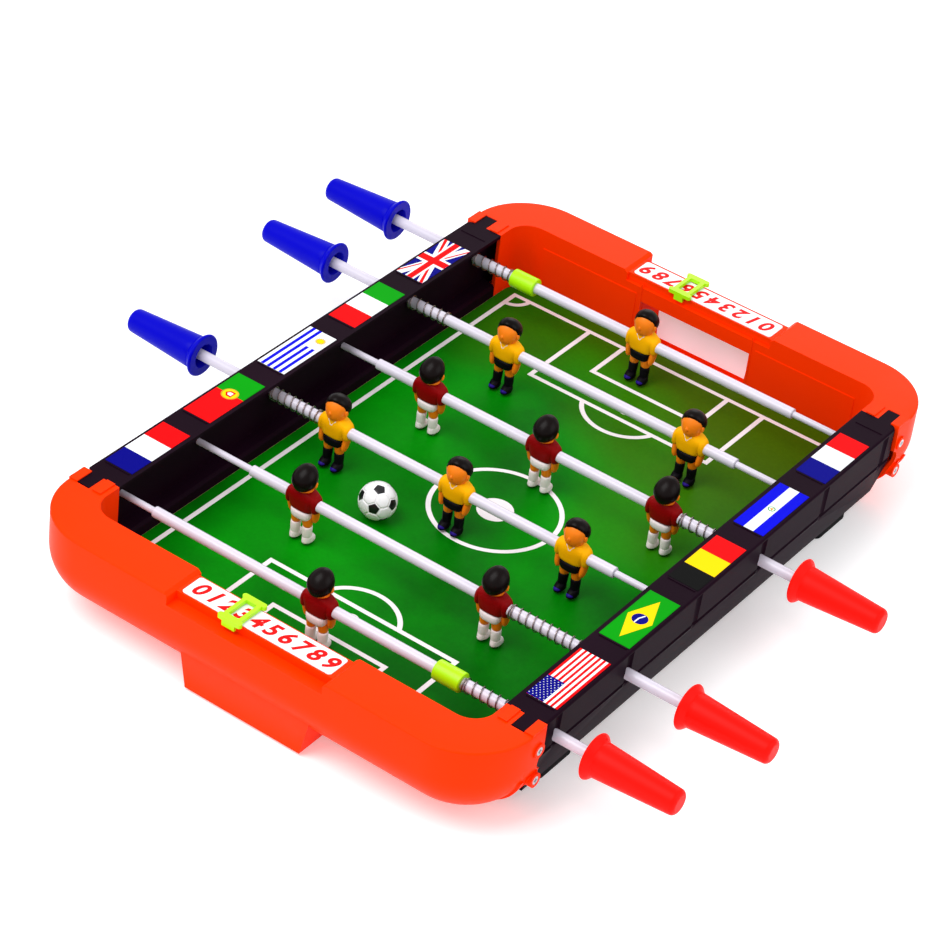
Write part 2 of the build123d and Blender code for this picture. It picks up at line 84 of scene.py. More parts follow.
# ---- mesh helpers ----
def new_piece(name, bm, materials, body, smooth=True):
    """Turns a bmesh into a finished object that rides on a CAD body."""
    bmesh.ops.recalc_face_normals(bm, faces=bm.faces)
    for face in bm.faces:
        face.smooth = smooth
    mesh = bpy.data.meshes.new(name)
    bm.to_mesh(mesh)
    bm.free()
    for material in materials:
        mesh.materials.append(material)
    piece = bpy.data.objects.new(name, mesh)
    bpy.context.scene.collection.objects.link(piece)
    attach(piece, body)
    return piece


def painted(bm, before, index):
    """Gives every face that was made since before the material index."""
    for face in bm.faces:
        if face not in before:
            face.material_index = index


def loft(bm, rings, index, segments=20, square=1.0):
    """Closed form through stacked rings: each is centre x, centre y, z, half x, half y. Below 1, square is boxier."""
    before = set(bm.faces)
    x, y, z, hx, hy = rings[0]
    made = bmesh.ops.create_circle(bm, cap_ends=True, segments=segments, radius=1)
    for v in made["verts"]:
        v.co.x = math.copysign(abs(v.co.x) ** square, v.co.x)
        v.co.y = math.copysign(abs(v.co.y) ** square, v.co.y)
    place = Matrix.Translation((x, y, z)) @ Matrix.Diagonal((hx, hy, 1, 1))
    bmesh.ops.transform(bm, matrix=place, verts=made["verts"])
    base = top = made["verts"][0].link_faces[0]
    for nx, ny, nz, nhx, nhy in rings[1:]:
        moved = bmesh.ops.extrude_face_region(bm, geom=[top])["geom"]
        if top != base:
            bmesh.ops.delete(bm, geom=[top], context="FACES_ONLY")
        verts = [v for v in moved if isinstance(v, bmesh.types.BMVert)]
        top = next(f for f in moved if isinstance(f, bmesh.types.BMFace))
        step = (Matrix.Translation((nx, ny, nz)) @ Matrix.Diagonal((nhx / hx, nhy / hy, 1, 1))
                @ Matrix.Translation((-x, -y, -z)))
        bmesh.ops.transform(bm, matrix=step, verts=verts)
        x, y, z, hx, hy = nx, ny, nz, nhx, nhy
    painted(bm, before, index)


def ball_form(bm, centre, halves, index, segments=16):
    """Ellipsoid."""
    before = set(bm.faces)
    place = Matrix.Translation(centre) @ Matrix.Diagonal((*halves, 1))
    made = bmesh.ops.create_uvsphere(bm, u_segments=segments, v_segments=segments // 2 + 2, radius=1, matrix=place)
    painted(bm, before, index)
    return made["verts"]


def slab(bm, outline, low, high, index):
    """Flat printed area: a closed prism over an outline of x, y points."""
    before = set(bm.faces)
    base = bm.faces.new([bm.verts.new((x, y, low)) for x, y in outline])
    moved = bmesh.ops.extrude_face_region(bm, geom=[base])["geom"]
    bmesh.ops.translate(bm, vec=(0, 0, high - low), verts=[v for v in moved if isinstance(v, bmesh.types.BMVert)])
    painted(bm, before, index)


def oblong(x0, y0, x1, y1):
    """Outline of a rectangle."""
    return [(x0, y0), (x1, y0), (x1, y1), (x0, y1)]


def disc(bm, x, y, radius, low, high, index, segments=48):
    """Flat printed disc."""
    around = [2 * math.pi * k / segments for k in range(segments)]
    slab(bm, [(x + radius * math.cos(a), y + radius * math.sin(a)) for a in around], low, high, index)


def arc_line(bm, x, y, radius, width, start, sweep, low, high, index):
    """Curved printed line: a small rectangle spun about an upright axis."""
    before = set(bm.faces)
    inner, outer = radius - width / 2, radius + width / 2
    corners = [(inner, low), (outer, low), (outer, high), (inner, high)]
    verts = [bm.verts.new((x + r * math.cos(start), y + r * math.sin(start), z)) for r, z in corners]
    edges = [bm.edges.new((verts[k], verts[(k + 1) % 4])) for k in range(4)]
    whole = abs(abs(sweep) - 2 * math.pi) < 1e-6
    steps = max(6, int(abs(sweep) * 12))
    bmesh.ops.spin(bm, geom=verts + edges, cent=(x, y, 0), axis=(0, 0, 1), angle=sweep, steps=steps,
                   use_merge=whole, use_duplicate=False)
    if not whole:
        bmesh.ops.holes_fill(bm, edges=[e for e in bm.edges if e.is_boundary], sides=4)
    painted(bm, before, index)


# ---- materials ----
def finish(name, colour, roughness=0.3, mottle=0.06, mottle_scale=14.0, grain=0.06, grain_scale=900.0,
           coat=0.0, metallic=0.0, stretch=(1, 1, 1), shade=None, specular=0.06, glow=0.0):
    """Procedural finish: tone variation, roughness variation and fine surface relief on object coordinates."""
    material = bpy.data.materials.new(name)
    material.use_nodes = True
    nodes, links = material.node_tree.nodes, material.node_tree.links
    surface = nodes["Principled BSDF"]
    surface.inputs["Metallic"].default_value = metallic
    surface.inputs["Coat Weight"].default_value = coat
    surface.inputs["Coat Roughness"].default_value = 0.12
    surface.inputs["Specular IOR Level"].default_value = specular
    surface.inputs["Emission Color"].default_value = (*colour, 1)
    surface.inputs["Emission Strength"].default_value = glow
    place = nodes.new("ShaderNodeTexCoord")
    mapping = nodes.new("ShaderNodeMapping")
    mapping.inputs["Scale"].default_value = stretch
    links.new(place.outputs["Object"], mapping.inputs["Vector"])

    tone = nodes.new("ShaderNodeTexNoise")
    tone.inputs["Scale"].default_value = mottle_scale
    tone.inputs["Detail"].default_value = 4
    links.new(mapping.outputs["Vector"], tone.inputs["Vector"])
    ramp = nodes.new("ShaderNodeValToRGB")
    dark = shade or [c * (1 - mottle) for c in colour]
    ramp.color_ramp.elements[0].position = 0.35
    ramp.color_ramp.elements[0].color = (*dark, 1)
    ramp.color_ramp.elements[1].position = 0.65
    ramp.color_ramp.elements[1].color = (*[min(1.0, c * (1 + mottle)) for c in colour], 1)
    links.new(tone.outputs["Fac"], ramp.inputs["Fac"])
    links.new(ramp.outputs["Color"], surface.inputs["Base Color"])

    relief = nodes.new("ShaderNodeTexNoise")
    relief.inputs["Scale"].default_value = grain_scale
    relief.inputs["Detail"].default_value = 3
    links.new(mapping.outputs["Vector"], relief.inputs["Vector"])
    gloss = nodes.new("ShaderNodeMapRange")
    gloss.inputs["To Min"].default_value = max(0.03, roughness - 0.07)
    gloss.inputs["To Max"].default_value = min(1.0, roughness + 0.07)
    links.new(tone.outputs["Fac"], gloss.inputs["Value"])
    links.new(gloss.outputs["Result"], surface.inputs["Roughness"])
    bump = nodes.new("ShaderNodeBump")
    bump.inputs["Strength"].default_value = grain
    bump.inputs["Distance"].default_value = 0.1 * MM
    links.new(relief.outputs["Fac"], bump.inputs["Height"])
    links.new(bump.outputs["Normal"], surface.inputs["Normal"])
    return material


def turf_finish(name, bright, deep, olive):
    """Printed turf: soft patches of three greens with a fine blade pattern and a glossy film."""
    material = finish(name, bright, roughness=0.5, mottle_scale=9.0, grain=0.04, shade=deep, specular=0.04)
    nodes, links = material.node_tree.nodes, material.node_tree.links
    surface = nodes["Principled BSDF"]
    base = surface.inputs["Base Color"].links[0].from_socket
    vector = next(n for n in nodes if n.type == "MAPPING").outputs["Vector"]
    patches = nodes.new("ShaderNodeTexNoise")
    patches.inputs["Scale"].default_value = 7.0
    patches.inputs["Detail"].default_value = 2
    links.new(vector, patches.inputs["Vector"])
    # the print turns olive towards the far end and the right-hand side
    reach = nodes.new("ShaderNodeVectorMath")
    reach.operation = "DOT_PRODUCT"
    reach.inputs[1].default_value = (3.6, -1.7, 0)
    links.new(vector, reach.inputs[0])
    total = nodes.new("ShaderNodeMath")
    links.new(patches.outputs["Fac"], total.inputs[0])
    links.new(reach.outputs["Value"], total.inputs[1])
    where = nodes.new("ShaderNodeMapRange")
    where.inputs["From Min"].default_value = 0.72
    where.inputs["From Max"].default_value = 1.3
    links.new(total.outputs["Value"], where.inputs["Value"])
    earth = nodes.new("ShaderNodeMix")
    earth.data_type = "RGBA"
    links.new(where.outputs["Result"], earth.inputs["Factor"])
    links.new(base, earth.inputs["A"])
    earth.inputs["B"].default_value = (*olive, 1)
    blades = nodes.new("ShaderNodeTexNoise")
    blades.inputs["Scale"].default_value = 420.0
    blades.inputs["Detail"].default_value = 3
    links.new(vector, blades.inputs["Vector"])
    fleck = nodes.new("ShaderNodeMapRange")
    fleck.inputs["To Min"].default_value = 0.86
    fleck.inputs["To Max"].default_value = 1.14
    links.new(blades.outputs["Fac"], fleck.inputs["Value"])
    print_tone = nodes.new("ShaderNodeMix")
    print_tone.data_type = "RGBA"
    print_tone.blend_type = "MULTIPLY"
    print_tone.inputs["Factor"].default_value = 1.0
    links.new(earth.outputs["Result"], print_tone.inputs["A"])
    links.new(fleck.outputs["Result"], print_tone.inputs["B"])
    links.new(print_tone.outputs["Result"], surface.inputs["Base Color"])
    return material


FINISHES = {
    "orange_shell": dict(colour=(1.0, 0.036, 0.0), roughness=0.36, mottle=0.02, grain=0.08, specular=0.04),
    "black_rail": dict(colour=(0.009, 0.002, 0.007), roughness=0.45, mottle=0.2, grain=0.12, specular=0.025),
    "board_back": dict(colour=(0.36, 0.24, 0.13), roughness=0.75, mottle=0.16, mottle_scale=60, grain=0.3),
    # the goal's white back panel glows: painted light that brightens it where it sits in shade inside the goal
    "white_panel": dict(colour=(0.88, 0.84, 0.88), roughness=0.5, mottle=0.02, grain=0.05, glow=0.35),
    "score_white": dict(colour=(0.86, 0.85, 0.88), roughness=0.35, mottle=0.015, specular=0.3),
    "digit_red": dict(colour=(0.72, 0.004, 0.004), roughness=0.4, mottle=0.05),
    "foot_black": dict(colour=(0.006, 0.006, 0.007), roughness=0.7, mottle=0.2, grain=0.4),
    "screw_steel": dict(colour=(0.62, 0.62, 0.65), roughness=0.3, metallic=1.0, mottle=0.1, grain=0.15),
    "spring_steel": dict(colour=(0.3, 0.24, 0.24), roughness=0.26, metallic=1.0, mottle=0.08, grain=0.08),
    "rod_white": dict(colour=(0.64, 0.6, 0.7), roughness=0.25, mottle=0.02, specular=0.5, stretch=(6, 1, 6)),
    "core_white": dict(colour=(0.62, 0.58, 0.68), roughness=0.28, mottle=0.03, specular=0.5, stretch=(6, 1, 6)),
    "handle_red": dict(colour=(0.95, 0.006, 0.003), roughness=0.38, mottle=0.04, grain=0.1),
    "handle_blue": dict(colour=(0.0, 0.0, 0.46), roughness=0.38, mottle=0.05, grain=0.1),
    "lime": dict(colour=(0.42, 0.88, 0.003), roughness=0.3, mottle=0.04, specular=0.25),
    "skin": dict(colour=(0.9, 0.21, 0.006), roughness=0.36, mottle=0.06, mottle_scale=90, specular=0.2),
    "hair": dict(colour=(0.004, 0.002, 0.002), roughness=0.3, mottle=0.3, grain=0.2, grain_scale=500, specular=0.09),
    "shirt_red": dict(colour=(0.22, 0.001, 0.002), roughness=0.4, mottle=0.08, mottle_scale=90),
    "shirt_yellow": dict(colour=(0.98, 0.44, 0.001), roughness=0.4, mottle=0.05, mottle_scale=90),
    "cloth_white": dict(colour=(0.85, 0.76, 0.77), roughness=0.42, mottle=0.03, mottle_scale=90),
    "cloth_black": dict(colour=(0.004, 0.003, 0.005), roughness=0.4, mottle=0.2, mottle_scale=90, specular=0.05),
    "boot_navy": dict(colour=(0.02, 0.006, 0.2), roughness=0.35, mottle=0.1, mottle_scale=90),
    "line_white": dict(colour=(0.86, 0.8, 0.83), roughness=0.4, mottle=0.02),
    "ink_black": dict(colour=(0.003, 0.003, 0.003), roughness=0.45, mottle=0.1, specular=0.03),
    "ink_white": dict(colour=(0.82, 0.84, 0.87), roughness=0.45, mottle=0.015, specular=0.03),
    "ink_red": dict(colour=(0.85, 0.001, 0.003), roughness=0.45, mottle=0.03, specular=0.03),
    "ink_blue": dict(colour=(0.0, 0.0, 0.2), roughness=0.45, mottle=0.05, specular=0.03),
    "ink_bright_blue": dict(colour=(0.0, 0.001, 0.62), roughness=0.45, mottle=0.05, specular=0.03),
    "ink_green": dict(colour=(0.0, 0.3, 0.002), roughness=0.45, mottle=0.04, specular=0.03),
    "ink_yellow": dict(colour=(0.95, 0.62, 0.0), roughness=0.45, mottle=0.03, specular=0.03),
    "ink_gold": dict(colour=(0.62, 0.36, 0.02), roughness=0.45, mottle=0.15, mottle_scale=400, specular=0.03),
    "ball_white": dict(colour=(0.85, 0.85, 0.88), roughness=0.3, mottle=0.03, mottle_scale=80, specular=0.4),
    "ball_black": dict(colour=(0.006, 0.006, 0.008), roughness=0.3, mottle=0.2, mottle_scale=80, specular=0.4),
}
_made = {}


def look(name):
    """The named finish, made once."""
    if name not in _made:
        _made[name] = finish(name, **FINISHES[name])
    return _made[name]


def dress(node, material):
    """Gives a CAD node its finish, and smooth shading that breaks at its edges."""
    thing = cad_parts[node]
    thing.data.materials.clear()
    thing.data.materials.append(material)
    thing.data.polygons.foreach_set("use_smooth", [True] * len(thing.data.polygons))
    weld = thing.modifiers.new("Weld", "WELD")
    weld.merge_threshold = 0.002 * MM
    split = thing.modifiers.new("Edges", "EDGE_SPLIT")
    split.split_angle = math.radians(32)


# ---- sizes and colours that a user would change ----
class PitchPrint(bpy.types.PropertyGroup):
    """Printed pitch."""
    line_width: FloatProperty(name="Line width", description="Width of the printed lines",
                              default=3.1 * MM, unit="LENGTH")
    goal_line: FloatProperty(name="Goal line", description="Distance of each goal line from the middle",
                             default=199 * MM, unit="LENGTH")
    touch_line: FloatProperty(name="Touch line", description="Distance of each touch line from the middle",
                              default=128 * MM, unit="LENGTH")
    circle: FloatProperty(name="Centre circle", description="Radius of the centre circle",
                          default=40.7 * MM, unit="LENGTH")
    bright: FloatVectorProperty(name="Bright turf", description="Lightest green of the turf", subtype="COLOR",
                                default=(0.0, 0.24, 0.001))
    deep: FloatVectorProperty(name="Deep turf", description="Darkest green of the turf", subtype="COLOR",
                              default=(0.0, 0.105, 0.001))
    olive: FloatVectorProperty(name="Olive turf", description="Dry patches of the turf", subtype="COLOR",
                               default=(0.05, 0.115, 0.001))


class SpringSizes(bpy.types.PropertyGroup):
    """Return springs."""
    wire: FloatProperty(name="Wire", description="Diameter of the spring wire", default=0.8 * MM, unit="LENGTH")
    radius: FloatProperty(name="Radius", description="Radius of the wire's centre line",
                          default=4.3 * MM, unit="LENGTH")
    pitch: FloatProperty(name="Pitch", description="Distance between open turns", default=5.2 * MM, unit="LENGTH")


class ScoreDigits(bpy.types.PropertyGroup):
    """Score digits."""
    height: FloatProperty(name="Height", description="Height of the font's em square",
                          default=15 * MM, unit="LENGTH")
    step: FloatProperty(name="Step", description="Distance from one digit to the next",
                        default=10.2 * MM, unit="LENGTH")
    slant: FloatProperty(name="Slant", description="Forward lean of the digits", default=0.25)


class BallSizes(bpy.types.PropertyGroup):
    """Ball."""
    seam: FloatProperty(name="Seam", description="Width of the seams between panels",
                        default=0.35 * MM, unit="LENGTH")
    steps: IntProperty(name="Smoothness", description="How often each panel edge is divided", default=4, min=1)


class StudioSettings(bpy.types.PropertyGroup):
    """Camera."""
    distance: FloatProperty(name="Distance", description="From the camera to the point that it looks at",
                            default=1.9725, unit="LENGTH")
    azimuth: FloatProperty(name="Azimuth", description="Direction of view in the plane of the floor",
                           default=math.radians(31.80), unit="ROTATION")
    elevation: FloatProperty(name="Elevation", description="How far the camera looks down",
                             default=math.radians(36.49), unit="ROTATION")
    roll: FloatProperty(name="Roll", description="Tilt of the camera about its own axis",
                        default=math.radians(7.41), unit="ROTATION")
    lens: FloatProperty(name="Lens", description="Focal length for a 36 mm sensor", default=127.1)
    aim_x: FloatProperty(name="Aim X", description="Looked-at point, from the middle of the pitch",
                         default=-34.2 * MM, unit="LENGTH")
    aim_y: FloatProperty(name="Aim Y", description="Looked-at point, from the middle of the pitch",
                         default=-3.8 * MM, unit="LENGTH")


# ---- operators: one for each piece or group of like pieces ----
class DressShell(bpy.types.Operator):
    """Finishes of the end caps, rails, boards, strips, markers, feet and screws"""
    bl_idname = "foosball.dress_shell"
    bl_label = "Dress body"

    def execute(self, context):
        finishes = {
            "end_cap_near": "orange_shell", "end_cap_far": "orange_shell",
            "side_rail_right": "black_rail", "side_rail_left": "black_rail",
            "pitch_board": "board_back", "goal_net_near": "white_panel", "goal_net_far": "white_panel",
            "score_strip_near": "score_white", "score_strip_far": "score_white",
            "score_marker_near": "lime", "score_marker_far": "lime",
            "feet": "foot_black", "cap_screws": "screw_steel", "board_screws": "screw_steel",
        }
        for node, name in finishes.items():
            dress(node, look(name))
        return {"FINISHED"}


class DressRods(bpy.types.Operator):
    """Finishes of the tubes, cores, handles and collars"""
    bl_idname = "foosball.dress_rods"
    bl_label = "Dress rods"

    def execute(self, context):
        for rod in RODS:
            dress(f"{rod}_tube", look("rod_white"))
            dress(f"{rod}_core", look("core_white"))
            dress(f"{rod}_handle", look("handle_red" if rod in RED_RODS else "handle_blue"))
        for node in ("rod_1_collar", "rod_6_collar"):
            dress(node, look("lime"))
        return {"FINISHED"}


class PrintPitch(bpy.types.Operator):
    """Turf print and the white lines on it"""
    bl_idname = "foosball.print_pitch"
    bl_label = "Print pitch"

    def execute(self, context):
        sizes = context.scene.foosball_pitch
        dress("pitch_sheet", turf_finish("turf_print", sizes.bright, sizes.deep, sizes.olive))
        low, high = SHEET_TOP, SHEET_TOP + PRINT_THICK
        over = high + 0.01 * MM     # curved lines lie just over the straight ones that they meet
        width, goal, touch = sizes.line_width, sizes.goal_line, sizes.touch_line
        half = width / 2
        # depth and half width of the two boxes in front of each goal, and the place of the penalty spot
        big_box, small_box = (67.4 * MM, 67.5 * MM), (36 * MM, 40.5 * MM)
        spot_depth, spot_radius = 56 * MM, 5.4 * MM
        arc_radius, corner_radius, middle_radius = 29 * MM, 12 * MM, 11.5 * MM
        bm = bmesh.new()
        for side in (-1, 1):
            slab(bm, oblong(-goal - half, side * touch - half, goal + half, side * touch + half), low, high, 0)
        for end in (-1, 1):
            slab(bm, oblong(end * goal - half, -touch + half, end * goal + half, touch - half), low, high, 0)
            for depth, reach in (big_box, small_box):
                front = end * (goal - depth)
                slab(bm, oblong(front - half, -reach - half, front + half, reach + half), low, high, 0)
                near, far = sorted((front + end * half, end * (goal - half)))
                for side in (-1, 1):
                    slab(bm, oblong(near, side * reach - half, far, side * reach + half), low, high, 0)
            spot_x = end * (goal - spot_depth)
            disc(bm, spot_x, 0, spot_radius, low, high, 0)
            # the arc outside the bigger box, and the quarter arcs in the corners
            opening = math.acos((big_box[0] - spot_depth) / arc_radius)
            middle = math.pi if end > 0 else 0.0
            arc_line(bm, spot_x, 0, arc_radius, width, middle - opening, 2 * opening, low, over, 0)
            for side in (-1, 1):
                start = math.atan2(-side, -end) - math.pi / 4
                arc_line(bm, end * goal, side * touch, corner_radius, width, start, math.pi / 2, low, over, 0)
        arc_line(bm, 0, 0, sizes.circle, width, 0, 2 * math.pi, low, high, 0)
        disc(bm, 0, 0, middle_radius, low, high, 0)
        new_piece("pitch_lines", bm, [look("line_white")], "table", smooth=False)
        return {"FINISHED"}


class CoilSprings(bpy.types.Operator):
    """Round-wire return springs, open in the middle and closed at both ends"""
    bl_idname = "foosball.coil_springs"
    bl_label = "Coil springs"

    def execute(self, context):
        sizes = context.scene.foosball_spring
        for rod in RODS:
            low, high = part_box(f"{rod}_spring")
            self.coil(rod, low.y + sizes.wire / 2, high.y - sizes.wire / 2, (low.x + high.x) / 2, sizes)
        return {"FINISHED"}

    def coil(self, rod, start, end, x, sizes):
        """One spring on one rod, between the core and the tube; only the spring on rod 5 rides on its core, the others
        are unparented and baked in place.
        """
        around, wire_sides = 24, 10
        closed = sizes.wire * 1.08      # the last turn at each end lies against its neighbour
        open_length = end - start - 2 * closed
        turns = max(3, round(open_length / sizes.pitch))
        bm = bmesh.new()
        place = Matrix.Translation((x, start, ROD_Z + sizes.radius)) @ Matrix.Rotation(math.pi / 2, 4, "Y")
        made = bmesh.ops.create_circle(bm, segments=wire_sides, radius=sizes.wire / 2, matrix=place)
        section = made["verts"] + list({e for v in made["verts"] for e in v.link_edges})
        for count, length in ((1, closed), (turns, open_length), (1, closed)):
            steps = count * around
            spun = bmesh.ops.spin(bm, geom=section, cent=(x, 0, ROD_Z), axis=(0, 1, 0), angle=count * 2 * math.pi,
                                  dvec=(0, length / steps, 0), steps=steps, use_merge=False, use_duplicate=False)
            section = [g for g in spun["geom_last"] if not isinstance(g, bmesh.types.BMFace)]
        bmesh.ops.holes_fill(bm, edges=[e for e in bm.edges if e.is_boundary], sides=wire_sides)
        body = "core_" + rod[-1]
        piece = new_piece(f"{rod}_coil", bm, [look("spring_steel")], body)
        if rod == "rod_5":
            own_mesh(piece)
        else:
            piece.parent = None
            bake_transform(piece)
        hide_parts(f"{rod}_spring")


class MouldPlayers(bpy.types.Operator):
    """Twelve painted players, moulded round the tubes"""
    bl_idname = "foosball.mould_players"
    bl_label = "Mould players"

    def execute(self, context):
        for rod in RODS:
            for number in range(1, PLAYERS[rod] + 1):
                self.player(rod, f"{rod}_player_{number}")
        return {"FINISHED"}

    def player(self, rod, node):
        """One player in millimetres about the rod's axis, facing +X, then scaled, turned and placed."""
        red = rod in RED_RODS
        skin, hair, shirt, shorts, socks, boots, trim = range(7)
        bm = bmesh.new()
        self.head(bm, skin, hair)
        loft(bm, [(0, 0, -7.0, 5.0, 8.0), (0, 0, -5.2, 5.4, 8.5), (0, 0, -2, 5.7, 9.2), (0, 0, 1.5, 6.0, 10.8),
                  (0, 0, 4.0, 5.8, 11.0), (0, 0, 6.0, 5.2, 9.2), (0, 0, 7.2, 4.6, 6.6), (0, 0, 7.9, 4.0, 5.4)], shirt,
             square=0.66)
        loft(bm, [(0.2, 0, 6.0, 5.0, 5.6), (0.2, 0, 7.9, 5.1, 5.7), (0.2, 0, 9.1, 4.7, 5.1), (0.4, 0, 11, 3.6, 3.8)],
             skin)
        loft(bm, [(0, 0, -12.8, 4.7, 6.2), (0, 0, -11.6, 5.4, 7.1), (0, 0, -7.4, 5.7, 7.4), (0, 0, -6.0, 5.1, 7.0)],
             shorts, square=0.66)
        for side in (-1, 1):
            loft(bm, [(0, side * 9.6, -5.4, 3.1, 1.9), (0, side * 9.5, -4.2, 4.2, 2.6), (0, side * 9.3, -0.5, 4.9, 3.0),
                      (0, side * 8.8, 2.4, 5.0, 3.2), (0, side * 8.0, 4.6, 4.5, 3.1), (0, side * 6.8, 6.4, 3.4, 2.4)],
                 shirt)
            loft(bm, [(1.6, side * 8.4, -14.2, 1.0, 0.8), (1.5, side * 8.4, -13.2, 2.1, 1.5),
                      (1.2, side * 8.6, -11.4, 2.8, 2.1), (0.8, side * 8.9, -8.6, 2.9, 2.2),
                      (0.2, side * 9.2, -5.0, 3.1, 2.2), (0, side * 9.2, -2.0, 2.6, 1.9)], skin)
            loft(bm, [(0, side * 4.3, -18.6, 2.9, 2.8), (0, side * 4.2, -16.5, 3.2, 3.0),
                      (0, side * 4.0, -13.4, 3.7, 3.3), (0, side * 3.7, -10.8, 4.3, 3.5),
                      (0, side * 3.6, -8.6, 4.2, 3.3)], skin)
            loft(bm, [(0.2, side * 4.5, -27.4, 2.9, 2.7), (0, side * 4.5, -25, 3.1, 2.9),
                      (-0.1, side * 4.4, -21.5, 3.3, 3.1), (0, side * 4.3, -18.2, 3.4, 3.2),
                      (0, side * 4.3, -17.6, 3.0, 2.9)], socks)
            loft(bm, [(1.6, side * 4.6, -29.6, 5.0, 3.0), (1.7, side * 4.6, -28.9, 5.5, 3.3),
                      (1.7, side * 4.6, -27.7, 5.4, 3.3), (1.3, side * 4.6, -26.4, 4.7, 3.2),
                      (0.6, side * 4.6, -25.2, 3.7, 3.0), (0.2, side * 4.6, -24.6, 2.8, 2.6)], boots)
            if not red:
                ball_form(bm, (4.4, side * 4.6, -27.7), (2.75, 2.7, 1.6), trim, 12)
        if red:
            # dark soles
            for side in (-1, 1):
                loft(bm, [(1.6, side * 4.6, -29.62, 5.3, 3.2), (1.6, side * 4.6, -29.1, 5.55, 3.4)], trim)
        else:
            # white edge of the collar's V
            for side in (-1, 1):
                before = set(bm.faces)
                lean = Matrix.Rotation(-side * math.radians(38), 4, "X") @ Matrix.Rotation(math.radians(-14), 4, "Y")
                place = Matrix.Translation((5.0, side * 1.45, 5.1)) @ lean @ Matrix.Diagonal((0.7, 0.7, 4.4, 1))
                made = bmesh.ops.create_cube(bm, size=1, matrix=place)
                bmesh.ops.bevel(bm, geom=list({e for v in made["verts"] for e in v.link_edges}), offset=0.2,
                                segments=2, profile=0.5, affect="EDGES", material=-1)
                painted(bm, before, 7)
        facing = 1 if red else -1
        low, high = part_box(node)
        tube_low, tube_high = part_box(f"{rod}_tube")
        centre = Vector(((tube_low.x + tube_high.x) / 2, (low.y + high.y) / 2, ROD_Z))
        place = Matrix.Translation(centre) @ Matrix.Diagonal((MM * facing, MM * facing, MM, 1))
        bmesh.ops.transform(bm, matrix=place, verts=bm.verts)
        kit = (["skin", "hair", "shirt_red", "cloth_white", "cloth_white", "cloth_white", "cloth_black"] if red else
               ["skin", "hair", "shirt_yellow", "cloth_black", "cloth_black", "cloth_black", "boot_navy",
                "cloth_white"])
        piece = new_piece(f"{node}_figure", bm, [look(name) for name in kit], rod)
        smoothing = piece.modifiers.new("Smooth", "SUBSURF")
        smoothing.levels = smoothing.render_levels = 1
        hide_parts(node)

    def head(self, bm, skin, hair):
        """Plain toy head with a nose and ears, and hair parted at one side."""
        loft(bm, [(1.0, 0, 6.2, 3.0, 2.8), (1.4, 0, 7.0, 4.6, 4.1), (1.1, 0, 8.8, 6.2, 5.6), (0.7, 0, 11, 7.1, 6.8),
                  (0.4, 0, 14, 7.5, 7.4), (0.2, 0, 17, 7.2, 7.2), (0, 0, 19.6, 6.0, 6.0), (0, 0, 21.4, 3.8, 3.8),
                  (0, 0, 22.4, 1.4, 1.4)], skin)
        ball_form(bm, (7.7, 0, 13.0), (1.0, 1.0, 1.6), skin, 10)
        for side in (-1, 1):
            ball_form(bm, (0.8, side * 7.3, 13.0), (1.6, 0.9, 2.3), skin, 10)
        before = set(bm.faces)
        verts = ball_form(bm, (-0.8, 0, 14.6), (8.3, 8.0, 9.0), hair, 28)
        for v in verts:
            if v.co.z < 13:
                v.co.y *= 1 - 0.05 * (13 - v.co.z)
            if v.co.z > 16:
                v.co.x += 0.3 * (v.co.z - 16)
        grown = [f for f in bm.faces if f not in before]
        # the face is left open by one slanting cut, which also makes the parting, and the nape by a level one
        for point, normal in (((4.4, 0, 18.4), (0.9, 0.16, -0.42)), ((0, 0, 8.6), (0, 0, -1))):
            geom = grown + list({e for f in grown for e in f.edges}) + list({v for f in grown for v in f.verts})
            cut = bmesh.ops.bisect_plane(bm, geom=geom, plane_co=point, plane_no=Vector(normal).normalized(),
                                         clear_outer=True, use_snap_center=False)["geom_cut"]
            rim = [e for e in cut if isinstance(e, bmesh.types.BMEdge) and e.is_boundary]
            bmesh.ops.holes_fill(bm, edges=rim, sides=0)
            grown = [f for f in bm.faces if f not in before]
        painted(bm, before, hair)


